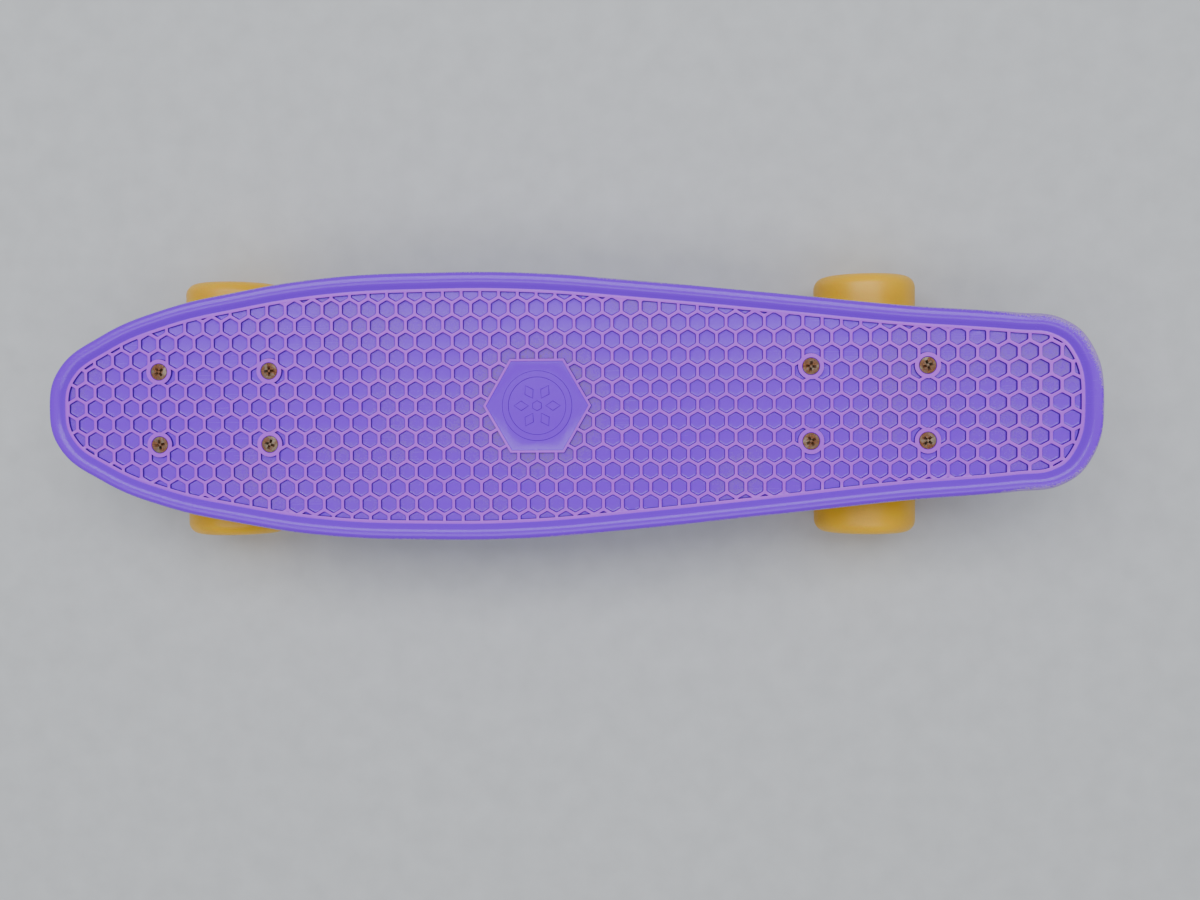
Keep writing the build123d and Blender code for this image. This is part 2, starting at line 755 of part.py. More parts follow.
def make_spacer():
    half = SPACER_LENGTH / 2
    return turned(
        [(-half, AXLE_RADIUS), (-half, SPACER_RADIUS), (half, SPACER_RADIUS), (half, AXLE_RADIUS)],
        WHEEL_SIDE,
        WHEEL_AXIS,
    )


save(make_deck(), "deck")
save_on_trucks(make_mounting_bolts(), "mounting_bolts")
save_on_trucks(make_mounting_nuts(), "mounting_nuts")
save_on_trucks(make_baseplate(), "baseplate")
save_on_trucks(make_pivot_cup(), "pivot_cup")
save_on_trucks(make_kingpin(), "kingpin")
save_on_trucks(make_kingpin_nut(), "kingpin_nut")
save_on_trucks(make_board_bushing(), "board_bushing")
save_on_trucks(make_road_bushing(), "road_bushing")
save_on_trucks(make_cup_washers(), "cup_washers")
save_on_trucks(make_hanger(), "hanger")
save_on_trucks(make_axle(), "axle")
save_on_trucks(make_axle_washers(), "axle_washers")
save_on_trucks(make_axle_nuts(), "axle_nuts")
save_on_wheels(make_wheel(), "wheel")
save_on_wheels(make_outer_rings(), "bearing_outer_rings")
save_on_wheels(make_inner_rings(), "bearing_inner_rings")
save_on_wheels(make_balls(), "bearing_balls")
save_on_wheels(make_cages(), "bearing_cages")
save_on_wheels(make_shields(), "bearing_shields")
save_on_wheels(make_spacer(), "bearing_spacer")
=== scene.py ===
"""Plastic cruiser skateboard: a honeycomb deck, two cast trucks, four urethane wheels and a studio."""

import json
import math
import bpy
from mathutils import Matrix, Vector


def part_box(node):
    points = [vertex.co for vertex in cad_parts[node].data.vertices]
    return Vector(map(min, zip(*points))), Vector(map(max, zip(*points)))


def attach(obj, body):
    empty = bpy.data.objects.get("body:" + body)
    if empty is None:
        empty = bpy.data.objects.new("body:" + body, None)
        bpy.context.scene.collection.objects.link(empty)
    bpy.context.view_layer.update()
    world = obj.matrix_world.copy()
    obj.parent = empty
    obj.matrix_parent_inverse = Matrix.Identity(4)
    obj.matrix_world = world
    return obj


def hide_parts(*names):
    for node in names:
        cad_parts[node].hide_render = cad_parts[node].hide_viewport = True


bl_info = {
    "name": "Plastic Cruiser Skateboard",
    "version": (1, 0, 0),
    "blender": (4, 5, 0),
    "location": "3D View > Sidebar > Skateboard",
    "description": "Builds a moulded cruiser deck, its trucks and wheels, and a plain studio",
    "category": "Add Mesh",
}

import bmesh
import bpy
from mathutils import Matrix, Vector
from mathutils.kdtree import KDTree

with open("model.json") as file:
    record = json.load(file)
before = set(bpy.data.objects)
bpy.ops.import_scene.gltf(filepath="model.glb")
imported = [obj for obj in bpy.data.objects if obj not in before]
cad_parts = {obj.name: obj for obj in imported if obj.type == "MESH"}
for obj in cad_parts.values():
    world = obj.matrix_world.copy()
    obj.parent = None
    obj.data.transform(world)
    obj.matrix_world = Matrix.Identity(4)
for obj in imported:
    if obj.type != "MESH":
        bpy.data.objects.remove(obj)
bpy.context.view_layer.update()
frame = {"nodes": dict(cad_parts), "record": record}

MM = 0.001
ENDS = ("nose", "tail")
SIDES = ("left", "right")


def middle(node):
    """The centre of a CAD node's box."""
    low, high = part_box(node)
    return (Vector(low) + Vector(high)) / 2


TOP_Z = frame["record"]["mounts"][0]["pos_m"][2]
TRUCK_X = {end: middle(f"{end}_mounting_bolts").x for end in ENDS}
DECK_MIDDLE_X = (TRUCK_X["nose"] + TRUCK_X["tail"]) / 2
PAD_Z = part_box("nose_baseplate")[1][2]

# Half-widths of the deck along its length, from the middle between the trucks, nose to tail, in mm
OUTLINE = [
    (-279.2, 0.0),
    (-273.6, 22.4),
    (-248.8, 41.4),
    (-213.8, 55.6),
    (-170.5, 65.2),
    (-120.0, 72.6),
    (-60.0, 75.0),
    (-5.0, 74.2),
    (55.0, 69.2),
    (125.0, 62.0),
    (200.0, 53.9),
    (262.0, 48.6),
    (284.5, 44.6),
    (297.8, 32.0),
    (304.5, 0.0),
]
BOLT_SPACING = (63.5 * MM, 41.3 * MM)
BADGE_STEPS = [(1.15, 0.0), (0.12, -0.08), (0.25, -0.55), (0.3, -0.08)]  # in and up to its panel, in mm
BADGE_RELIEF = 0.42 * MM  # height of the badge's ring and rosette over its panel
PROUD = 0.03 * MM  # how far flat tops that meet the ribs stand over them
HEXAGON_TURN = Matrix.Rotation(math.radians(30), 3, "Z")  # lays two sides of the badge along the deck
FIELD_SIZE = (600 * MM, 136 * MM)  # the honeycomb slab before it is cut to the outline
RIB_LENGTH = 1.2  # underside ribs before they are cut to the outline, in metres
RIB_LEAN, RIB_PITCH, RIB_WIDTH = 40, 34 * MM, 2.4 * MM
RIB_FOOT, RIB_ROOT = -8.5 * MM, -3.0 * MM  # the underside ribs' lower and upper ends, from the rib tops
PAD_SIZE, PAD_CORNER, PAD_EDGE = (92 * MM, 60 * MM), 9 * MM, 0.8 * MM
COLLAR_RADII = (7.7 * MM, 7.1 * MM)  # foot and top of the collar round each bolt
SHAFT_RADIUS, HEAD_RADIUS, HEAD_ANGLE = 2.5 * MM, 4.7 * MM, 41
THREAD_LENGTH, THREAD_STEP, THREAD_DEPTH = 9 * MM, 0.8 * MM, 0.32 * MM
CASTING_VOXEL = 0.7 * MM
FLOOR_REACH = 8.0  # half the studio floor's side, in metres
CELLS_FROM = 9.3  # distance in from the outer edge, in mm, where the painted shade on the cell walls and the dirt in the cells may start
EDGE_STEPS = 4  # points per outline step when distances from the edge are taken
MIX_A, MIX_B, MIX_RESULT = 6, 7, 2  # the Mix node's colour sockets


def length(label, about, size):
    """A length setting whose default is given in millimetres."""
    return bpy.props.FloatProperty(name=label, description=about, default=size * MM, unit="LENGTH", precision=4)


class DeckSettings(bpy.types.PropertyGroup):
    """Sizes and colours of the moulded deck."""

    rim_rise: length("Rim Rise", "Height of the rim's crest over the rib tops", 2.5)
    rim_round: length("Rim Round", "Rounding of the rim's outer edge", 2.8)
    border: length("Border", "Distance from the outer edge to the first cells", 11.0)
    skirt: length("Skirt", "Depth of the outer skirt under the rib tops", 11.0)
    wall: length("Wall", "Thickness of the skirt", 3.6)
    plate: length("Plate", "Thickness of the plate from the rib tops down", 4.0)
    cell_pitch: length("Cell Pitch", "Distance between neighbouring honeycomb cells", 10.52)
    rib_top: length("Rib Top", "Width of the flat top of a honeycomb rib", 1.3)
    cell_depth: length("Cell Depth", "Depth of the honeycomb cells", 1.7)
    kick_start: length("Kick Start", "Where the tail starts to rise", 223.0)
    kick_radius: length("Kick Radius", "Bending radius at the start of the tail", 60.0)
    kick_angle: bpy.props.FloatProperty(
        name="Kick Angle", description="Slope of the tail", default=math.radians(15), subtype="ANGLE"
    )
    badge_radius: length("Badge Radius", "Centre to corner of the hexagonal badge", 30.2)
    colour: bpy.props.FloatVectorProperty(
        name="Colour", description="Colour of the plastic", subtype="COLOR", default=(0.225, 0.003, 0.900)
    )
    worn_colour: bpy.props.FloatVectorProperty(
        name="Worn Colour", description="Colour of rubbed ribs", subtype="COLOR", default=(0.540, 0.055, 0.960)
    )
    # painted shade: this dark purple is laid on the honeycomb cell walls and on the sides of the badge's raised ring
    # and rosette, in place of their shade and dark reflections
    painted_shade_colour: bpy.props.FloatVectorProperty(
        name="Shade Colour", description="Colour deep in the cell walls", subtype="COLOR",
        default=(0.060, 0.003, 0.260),
    )
    abraded_colour: bpy.props.FloatVectorProperty(
        name="Abraded Colour", description="Colour of scraped edges", subtype="COLOR", default=(0.480, 0.330, 0.640)
    )
    dirt_colour: bpy.props.FloatVectorProperty(
        name="Dirt Colour", description="Dust in the cells", subtype="COLOR", default=(0.230, 0.130, 0.190)
    )


class WheelSettings(bpy.types.PropertyGroup):
    """Sizes and colours of the wheels."""

    lip_radius: bpy.props.FloatProperty(
        name="Lip Radius", description="Rounding of the tread's edges", default=7.0 * MM, unit="LENGTH"
    )
    recess_radius: bpy.props.FloatProperty(
        name="Recess Radius", description="Radius of the recess round the bearing", default=17.0 * MM, unit="LENGTH"
    )
    colour: bpy.props.FloatVectorProperty(
        name="Colour", description="Colour of the urethane", subtype="COLOR", default=(0.980, 0.520, 0.001)
    )
    tread_colour: bpy.props.FloatVectorProperty(
        name="Tread Colour", description="Colour of the dusty tread", subtype="COLOR", default=(0.600, 0.330, 0.050)
    )


class StudioSettings(bpy.types.PropertyGroup):
    """Camera and lights."""

    camera_place: bpy.props.FloatVectorProperty(
        name="Camera Place", description="Where the camera stands", subtype="XYZ", unit="LENGTH",
        default=(0.0616, -0.0084, 0.7798),
    )
    camera_turn: bpy.props.FloatVectorProperty(
        name="Camera Turn", description="The camera's rotation", subtype="EULER",
        default=(math.radians(-1.38), math.radians(3.21), math.radians(-0.38)),
    )
    lens: bpy.props.FloatProperty(name="Lens", description="Focal length in millimetres", default=37.5)
    floor_colour: bpy.props.FloatVectorProperty(
        name="Floor Colour", description="Colour of the floor", subtype="COLOR", default=(0.66, 0.66, 0.65)
    )


# Mesh helpers


def mesh_piece(name, bm, smooth_angle=40.0):
    """A shown object from a bmesh, smooth where its faces meet at less than an angle."""
    mesh = bpy.data.meshes.new(name)
    bm.normal_update()
    bm.to_mesh(mesh)
    bm.free()
    mesh.shade_smooth()
    mesh.set_sharp_from_angle(angle=math.radians(smooth_angle))
    piece = bpy.data.objects.new(name, mesh)
    bpy.context.scene.collection.objects.link(piece)
    return piece


def combine(target, tool, how):
    """Applies one boolean between two bmeshes and gives the result as a new bmesh."""
    host = mesh_piece("combine_host", target, 180)
    guest = mesh_piece("combine_guest", tool, 180)
    cut = host.modifiers.new("cut", "BOOLEAN")
    cut.operation = how
    cut.solver = "MANIFOLD"
    cut.object = guest
    graph = bpy.context.evaluated_depsgraph_get()
    result = bmesh.new()
    result.from_object(host, graph)
    for spare in (host, guest):
        mesh = spare.data
        bpy.data.objects.remove(spare)
        bpy.data.meshes.remove(mesh)
    if not result.faces:
        raise RuntimeError(f"the {how} of the deck's pieces came out empty")
    return result


def paint(piece, material):
    piece.data.materials.clear()
    piece.data.materials.append(material)


# Deck


def outline_loop():
    """The deck's closed outline as points on the ground plane, counted from the nose over +Y."""
    near = [(x * MM + DECK_MIDDLE_X, y * MM) for x, y in OUTLINE]
    far = [(x, -y) for x, y in reversed(near[1:-1])]
    data = bpy.data.curves.new("deck_outline", "CURVE")
    data.dimensions = "3D"
    data.resolution_u = 12
    spline = data.splines.new("BEZIER")
    spline.bezier_points.add(len(near + far) - 1)
    for knot, (x, y) in zip(spline.bezier_points, near + far):
        knot.co = (x, y, 0)
        knot.handle_left_type = knot.handle_right_type = "AUTO"
    spline.use_cyclic_u = True
    holder = bpy.data.objects.new("deck_outline", data)
    bpy.context.scene.collection.objects.link(holder)
    mesh = bpy.data.meshes.new_from_object(holder.evaluated_get(bpy.context.evaluated_depsgraph_get()))
    points = [vertex.co.copy() for vertex in mesh.vertices]
    bpy.data.objects.remove(holder)
    bpy.data.meshes.remove(mesh)
    return points


def inset_loop(points, inset, height):
    """The outline taken in by inset, at a height over the rib tops."""
    ring = []
    for before, here, after in zip(points[-1:] + points[:-1], points, points[1:] + points[:1]):
        heading = (after - before).normalized()
        ring.append(Vector((here.x + heading.y * inset, here.y - heading.x * inset, TOP_Z + height)))
    return ring


def loop_edges(bm, ring):
    """A closed ring of edges through points."""
    start = bmesh.ops.create_circle(bm, segments=len(ring), radius=1)["verts"]
    for vertex, place in zip(start, ring):
        vertex.co = place
    return list({edge for vertex in start for edge in vertex.link_edges})


def rim_profile(sizes):
    """The rim's closed cross-section: (distance in from the outer edge, height over the rib tops)."""
    rise, skirt, plate, border, wall = sizes.rim_rise, sizes.skirt, sizes.plate, sizes.border, sizes.wall
    steps = 8
    shoulder = -1.6 * MM
    outer = [(0.9 * MM, -skirt), (0.3 * MM, 0.5 * MM - skirt), (0.2 * MM, 1.5 * MM - skirt)]
    for step in range(steps + 1):
        angle = math.pi / 2 * step / steps
        outer.append((
            sizes.rim_round * (1 - math.cos(angle)),
            shoulder + (0.96 * rise - shoulder) * math.sin(angle),
        ))
    slope = [(3.7, 1.0), (4.7, 0.985), (5.6, 0.93), (6.4, 0.81), (7.1, 0.64), (7.8, 0.42), (8.4, 0.22), (8.9, 0.07)]
    inner = [
        (9.2 * MM, -0.08 * MM),
        (9.4 * MM, -0.06 * MM),
        (9.6 * MM, PROUD),
        (border - 0.25 * MM, PROUD),
        (border - 0.06 * MM, -0.04 * MM),
        (border, -0.25 * MM),
        (border + 0.3 * MM, -sizes.cell_depth),
        (border + 0.5 * MM, -sizes.cell_depth - 0.25 * MM),
        (border + 0.5 * MM, -plate),
        (wall + 2.0 * MM, -plate),
        (wall + 0.6 * MM, -plate - 0.5 * MM),
        (wall, -plate - 1.8 * MM),
        (wall - 0.3 * MM, 0.6 * MM - skirt),
        (wall - 0.8 * MM, -skirt),
    ]
    return outer + [(inset * MM, share * rise) for inset, share in slope] + inner


def build_rim(sizes, points):
    """The rim and skirt, lofted ring by ring round the outline."""
    bm = bmesh.new()
    profile = rim_profile(sizes)
    first = edges = loop_edges(bm, inset_loop(points, *profile[0]))
    for inset, height in profile[1:]:
        made = bmesh.ops.extrude_edge_only(bm, edges=edges)["geom"]
        raised = [item for item in made if isinstance(item, bmesh.types.BMVert)]
        edges = [item for item in made if isinstance(item, bmesh.types.BMEdge)]
        ring = inset_loop(points, inset, height)
        for vertex, place in zip(raised, ring):
            vertex.co = place
    bmesh.ops.bridge_loops(bm, edges=first + edges)
    bmesh.ops.recalc_face_normals(bm, faces=bm.faces)
    return bm


def outline_prism(points, inset, low, high):
    """A solid between two heights over the rib tops, inside the outline taken in by inset."""
    bm = bmesh.new()
    loop_edges(bm, inset_loop(points, inset, low))
    floor = bmesh.ops.contextual_create(bm, geom=bm.edges)["faces"]
    made = bmesh.ops.extrude_face_region(bm, geom=floor)["geom"]
    raised = [item for item in made if isinstance(item, bmesh.types.BMVert)]
    bmesh.ops.translate(bm, verts=raised, vec=(0, 0, high - low))
    bmesh.ops.recalc_face_normals(bm, faces=bm.faces)
    return bm


def sink(bm, face, steps):
    """Takes a face in step by step: (how far in, how far up)."""
    for thickness, depth in steps:
        bmesh.ops.inset_region(
            bm, faces=[face], thickness=thickness, depth=depth, use_boundary=True, use_even_offset=True
        )


def build_cell(bm, sizes):
    """One honeycomb cell at the origin: half of each rib round it, its walls and its dished floor."""
    corner = sizes.cell_pitch / math.sqrt(3)
    made = bmesh.ops.create_circle(bm, cap_ends=True, segments=6, radius=corner)
    cell = made["verts"][0].link_faces[0]
    sink(bm, cell, [(sizes.rib_top / 2, 0)])
    bmesh.ops.bevel(
        bm, geom=list(cell.verts), offset=0.5 * MM, offset_type="OFFSET", segments=1, profile=0.5,
        affect="VERTICES", material=-1,
    )
    cell = max(bm.faces, key=lambda face: len(face.verts))
    sink(bm, cell, [
        (0.12 * MM, -0.04 * MM),
        (0.10 * MM, -0.14 * MM),
        (0.24 * MM, 0.38 * MM - sizes.cell_depth),
        (0.24 * MM, -0.16 * MM),
        (0.70 * MM, -0.04 * MM),
    ])
    bmesh.ops.poke(bm, faces=[cell], offset=0.10 * MM)


def build_field(sizes, length, width):
    """A slab with the honeycomb in its top, wide enough for the whole foot surface."""
    bm = bmesh.new()
    build_cell(bm, sizes)
    row_step = sizes.cell_pitch * math.sqrt(3) / 2
    columns = int(length / sizes.cell_pitch / 2) + 1
    rows = int(width / row_step / 2) + 1
    cell = list(bm.verts) + list(bm.edges) + list(bm.faces)
    for column in range(-columns, columns + 1):
        if column:
            copy = bmesh.ops.duplicate(bm, geom=cell)["geom"]
            verts = [item for item in copy if isinstance(item, bmesh.types.BMVert)]
            bmesh.ops.translate(bm, verts=verts, vec=(column * sizes.cell_pitch, 0, 0))
    row_geom = list(bm.verts) + list(bm.edges) + list(bm.faces)
    for row in range(-rows, rows + 1):
        if row:
            copy = bmesh.ops.duplicate(bm, geom=row_geom)["geom"]
            verts = [item for item in copy if isinstance(item, bmesh.types.BMVert)]
            shift = sizes.cell_pitch / 2 if row % 2 else 0
            bmesh.ops.translate(bm, verts=verts, vec=(shift, row * row_step, 0))
    bmesh.ops.remove_doubles(bm, verts=bm.verts, dist=0.02 * MM)
    bmesh.ops.translate(bm, verts=bm.verts, vec=(DECK_MIDDLE_X, 0, TOP_Z))
    border = [edge for edge in bm.edges if edge.is_boundary]
    made = bmesh.ops.extrude_edge_only(bm, edges=border)["geom"]
    for item in made:
        if isinstance(item, bmesh.types.BMVert):
            item.co.z = TOP_Z - sizes.plate + 0.03 * MM
    bottom = [edge for edge in bm.edges if edge.is_boundary]
    bmesh.ops.contextual_create(bm, geom=bottom)
    bmesh.ops.recalc_face_normals(bm, faces=bm.faces)
    return bm


def frustum(bm, x, y, low, high, low_radius, high_radius, segments):
    """A round or many-sided plug between two heights over the rib tops."""
    made = bmesh.ops.create_cone(
        bm, cap_ends=True, segments=segments, radius1=low_radius, radius2=high_radius, depth=high - low
    )
    bmesh.ops.translate(bm, verts=made["verts"], vec=(x, y, TOP_Z + (low + high) / 2))
    return made["verts"]


def bolt_places():
    """The eight bolt positions."""
    return [
        (x + along * BOLT_SPACING[0] / 2, across * BOLT_SPACING[1] / 2)
        for x in TRUCK_X.values()
        for along in (-1, 1)
        for across in (-1, 1)
    ]


def build_badge(sizes):
    """The hexagonal badge: a raised border round a sunk panel with two beads and a rosette."""
    bm = bmesh.new()
    radius = sizes.badge_radius
    verts = frustum(bm, 0, 0, -3.5 * MM, PROUD, radius + 0.9 * MM, radius, 6)
    bmesh.ops.rotate(bm, verts=verts, matrix=HEXAGON_TURN)
    top = max(bm.faces, key=lambda face: face.calc_center_median().z)
    sink(bm, top, [(thickness * MM, depth * MM) for thickness, depth in BADGE_STEPS])
    floor = top.calc_center_median().z - TOP_Z
    bmesh.ops.recalc_face_normals(bm, faces=bm.faces)
    bm = combine(bm, build_bead(17.8 * MM, 1.9 * MM, floor), "UNION")
    for turn in range(6):
        bm = combine(bm, build_petal(math.radians(60 * turn), floor), "UNION")
    hub = bmesh.new()
    frustum(hub, 0, 0, floor - 0.2 * MM, floor + BADGE_RELIEF, 3.2 * MM, 2.6 * MM, 6)
    bm = combine(bm, hub, "UNION")
    bmesh.ops.translate(bm, verts=bm.verts, vec=(DECK_MIDDLE_X, 0, 0))
    return bm


def build_bead(radius, half_width, floor):
    """A low raised ring on the badge's panel."""
    bm = bmesh.new()
    section = [
        (radius - half_width, floor - 0.4 * MM),
        (radius - half_width, floor - 0.05 * MM),
        (radius - half_width + 0.35 * MM, floor + BADGE_RELIEF),
        (radius + half_width - 0.35 * MM, floor + BADGE_RELIEF),
        (radius + half_width, floor - 0.05 * MM),
        (radius + half_width, floor - 0.4 * MM),
    ]
    ring = [bm.verts.new((across, 0, TOP_Z + height)) for across, height in section]
    edges = [bm.edges.new(pair) for pair in zip(ring, ring[1:] + ring[:1])]
    bmesh.ops.spin(
        bm, geom=ring + edges, cent=(0, 0, 0), axis=(0, 0, 1), angle=math.tau, steps=72, use_merge=True
    )
    bmesh.ops.recalc_face_normals(bm, faces=bm.faces)
    return bm


def build_petal(turn, floor):
    """One kite-shaped petal of the rosette."""
    bm = bmesh.new()
    made = bmesh.ops.create_circle(bm, cap_ends=True, segments=4, radius=3.1 * MM)
    bmesh.ops.scale(bm, verts=made["verts"], vec=(1.45, 1, 1))
    lifted = bmesh.ops.extrude_face_region(bm, geom=bm.faces[:])["geom"]
    verts = [item for item in lifted if isinstance(item, bmesh.types.BMVert)]
    bmesh.ops.translate(bm, verts=verts, vec=(0, 0, 0.2 * MM + BADGE_RELIEF))
    bmesh.ops.scale(bm, verts=verts, vec=(0.86, 0.80, 1))
    bmesh.ops.translate(bm, verts=bm.verts, vec=(8.9 * MM, 0, TOP_Z + floor - 0.2 * MM))
    bmesh.ops.rotate(bm, verts=bm.verts, matrix=Matrix.Rotation(turn, 3, "Z"))
    bmesh.ops.recalc_face_normals(bm, faces=bm.faces)
    return bm


def build_bars(angle, pitch, count, width, low, high):
    """Parallel bars across the whole underside, turned about the deck's middle."""
    bm = bmesh.new()
    for index in range(-count, count + 1):
        made = bmesh.ops.create_cube(bm, size=1)["verts"]
        bmesh.ops.scale(bm, verts=made, vec=(RIB_LENGTH, width, high - low))
        bmesh.ops.translate(bm, verts=made, vec=(0, index * pitch, TOP_Z + (low + high) / 2))
    bmesh.ops.rotate(bm, verts=bm.verts, matrix=Matrix.Rotation(angle, 3, "Z"))
    return bm


def build_pad(x):
    """One truck pad, with rounded corners."""
    bm = bmesh.new()
    made = bmesh.ops.create_cube(bm, size=1)["verts"]
    low, high = PAD_Z - TOP_Z, RIB_ROOT
    bmesh.ops.scale(bm, verts=made, vec=(*PAD_SIZE, high - low))
    uprights = [edge for edge in bm.edges if abs(edge.verts[0].co.z - edge.verts[1].co.z) > 1e-6]
    bmesh.ops.bevel(
        bm, geom=uprights, offset=PAD_CORNER, offset_type="OFFSET", segments=8, profile=0.5,
        affect="EDGES", material=-1,
    )
    bottom = min(bm.faces, key=lambda face: face.calc_center_median().z)
    bmesh.ops.bevel(
        bm, geom=list(bottom.edges), offset=PAD_EDGE, offset_type="OFFSET", segments=2, profile=0.5,
        affect="EDGES", material=-1,
    )
    bmesh.ops.translate(bm, verts=bm.verts, vec=(x, 0, TOP_Z + (low + high) / 2))
    return bm


def kick_rise(x, sizes):
    """How far the rising tail lifts the deck at x."""
    run = sizes.kick_radius * math.sin(sizes.kick_angle)
    past = x - sizes.kick_start
    if past <= 0:
        return 0.0
    if past <= run:
        return sizes.kick_radius - math.sqrt(sizes.kick_radius**2 - past**2)
    return sizes.kick_radius * (1 - math.cos(sizes.kick_angle)) + (past - run) * math.tan(sizes.kick_angle)


def build_deck(sizes, points):
    """The whole deck as one bmesh, flat, with the rise of the tail still to come."""
    field = build_field(sizes, *FIELD_SIZE)
    field = combine(field, outline_prism(points, sizes.border - 0.5 * MM, -6 * MM, 3 * MM), "INTERSECT")
    badge_room = bmesh.new()
    room = sizes.badge_radius - 0.5 * MM
    verts = frustum(badge_room, 0, 0, -2.0 * MM, 3 * MM, room, room, 6)
    bmesh.ops.rotate(badge_room, verts=verts, matrix=HEXAGON_TURN)
    bmesh.ops.translate(badge_room, verts=verts, vec=(DECK_MIDDLE_X, 0, 0))
    field = combine(field, badge_room, "DIFFERENCE")
    deck = combine(build_rim(sizes, points), field, "UNION")
    deck = combine(deck, build_badge(sizes), "UNION")
    collars = bmesh.new()
    for x, y in bolt_places():
        frustum(collars, x, y, -2.5 * MM, PROUD, *COLLAR_RADII, 40)
    deck = combine(deck, collars, "UNION")
    for angle, count in ((RIB_LEAN, 8), (-RIB_LEAN, 8), (0, 0)):
        bars = build_bars(math.radians(angle), RIB_PITCH, count, RIB_WIDTH, RIB_FOOT, RIB_ROOT)
        bars = combine(bars, outline_prism(points, sizes.wall - 0.4 * MM, -12 * MM, 0), "INTERSECT")
        deck = combine(deck, bars, "UNION")
    for x in TRUCK_X.values():
        deck = combine(deck, build_pad(x), "UNION")
    for low_z, high_z, low_radius, high_radius in (
        (-30 * MM, 5 * MM, 2.75 * MM, 2.75 * MM),
        (-2.6 * MM, 1.0 * MM, 2.7 * MM, 5.9 * MM),
    ):
        holes = bmesh.new()
        for x, y in bolt_places():
            frustum(holes, x, y, low_z, high_z, low_radius, high_radius, 32)
        deck = combine(deck, holes, "DIFFERENCE")
    return deck


def bend_tail(deck, sizes, points):
    """Keeps each point's height and distance from the outer edge as attributes, then lifts the tail."""
    first = sizes.kick_start
    last = first + sizes.kick_radius * math.sin(sizes.kick_angle)
    cuts = 6
    for step in range(cuts + 1):
        plane_x = first + (last - first) * step / cuts
        bmesh.ops.bisect_plane(
            deck, geom=deck.verts[:] + deck.edges[:] + deck.faces[:], plane_co=(plane_x, 0, 0),
            plane_no=(1, 0, 0), dist=1e-6,
        )
    tree = KDTree(len(points) * EDGE_STEPS)
    for index, (here, after) in enumerate(zip(points, points[1:] + points[:1])):
        for step in range(EDGE_STEPS):
            tree.insert(here.lerp(after, step / EDGE_STEPS), index * EDGE_STEPS + step)
    tree.balance()
    relief = deck.verts.layers.float.new("relief")
    inward = deck.verts.layers.float.new("inward")
    cells = deck.verts.layers.float.new("cells")
    flat = sizes.badge_radius * math.cos(math.radians(30)) - 0.2 * MM
    for vertex in deck.verts:
        vertex[relief] = (vertex.co.z - TOP_Z) / MM
        vertex[inward] = tree.find((vertex.co.x, vertex.co.y, 0))[2] / MM
        x, y = vertex.co.x - DECK_MIDDLE_X, vertex.co.y
        slants = [abs(x * math.cos(lean) + y * math.sin(lean)) for lean in (math.pi / 6, -math.pi / 6)]
        vertex[cells] = float(vertex[inward] > CELLS_FROM and max(abs(y), *slants) > flat)
        vertex.co.z += kick_rise(vertex.co.x, sizes)


# Trucks and wheels


def turned_piece(profile, steps):
    """A closed (along Y, radius) profile spun about the Y axis."""
    bm = bmesh.new()
    ring = [bm.verts.new((0, along, radius)) for along, radius in profile]
    edges = [bm.edges.new(pair) for pair in zip(ring, ring[1:] + ring[:1])]
    bmesh.ops.spin(
        bm, geom=ring + edges, cent=(0, 0, 0), axis=(0, 1, 0), angle=math.tau, steps=steps, use_merge=True
    )
    bmesh.ops.remove_doubles(bm, verts=bm.verts, dist=1e-6)
    bmesh.ops.recalc_face_normals(bm, faces=bm.faces)
    return bm


def build_wheel(sizes, stem):
    """One wheel about its own centre, with seats for the two bearings that the CAD carries."""
    low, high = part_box(f"{stem}_wheel")
    radius, half = (high[2] - low[2]) / 2, (high[1] - low[1]) / 2
    low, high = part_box(f"{stem}_bearing_outer_rings")
    seat, mouth = (high[2] - low[2]) / 2, (high[1] - low[1]) / 2
    low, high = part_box(f"{stem}_bearing_spacer")
    step = (high[1] - low[1]) / 2
    lip = sizes.lip_radius
    side = [
        (step, seat - 2 * MM),
        (step, seat),
        (mouth, seat),
        (mouth + 0.3 * MM, seat + 0.2 * MM),
        (mouth + 0.6 * MM, seat + 0.6 * MM),
        (half - 3.4 * MM, sizes.recess_radius - 2.4 * MM),
        (half - 2.3 * MM, sizes.recess_radius - 1.2 * MM),
        (half - 1.3 * MM, sizes.recess_radius - 0.1 * MM),
        (half - 1.0 * MM, sizes.recess_radius + 1.2 * MM),
        (half - 0.8 * MM, sizes.recess_radius + 2.2 * MM),
        (half - 0.2 * MM, sizes.recess_radius + 3.0 * MM),
        (half, sizes.recess_radius + 3.8 * MM),
    ]
    for index in range(9):
        angle = math.pi / 2 * index / 8
        side.append((half - lip * (1 - math.cos(angle)), radius - lip * (1 - math.sin(angle))))
    side.append((half * 0.45, radius))
    return turned_piece(side + [(-along, away) for along, away in reversed(side)], 112)


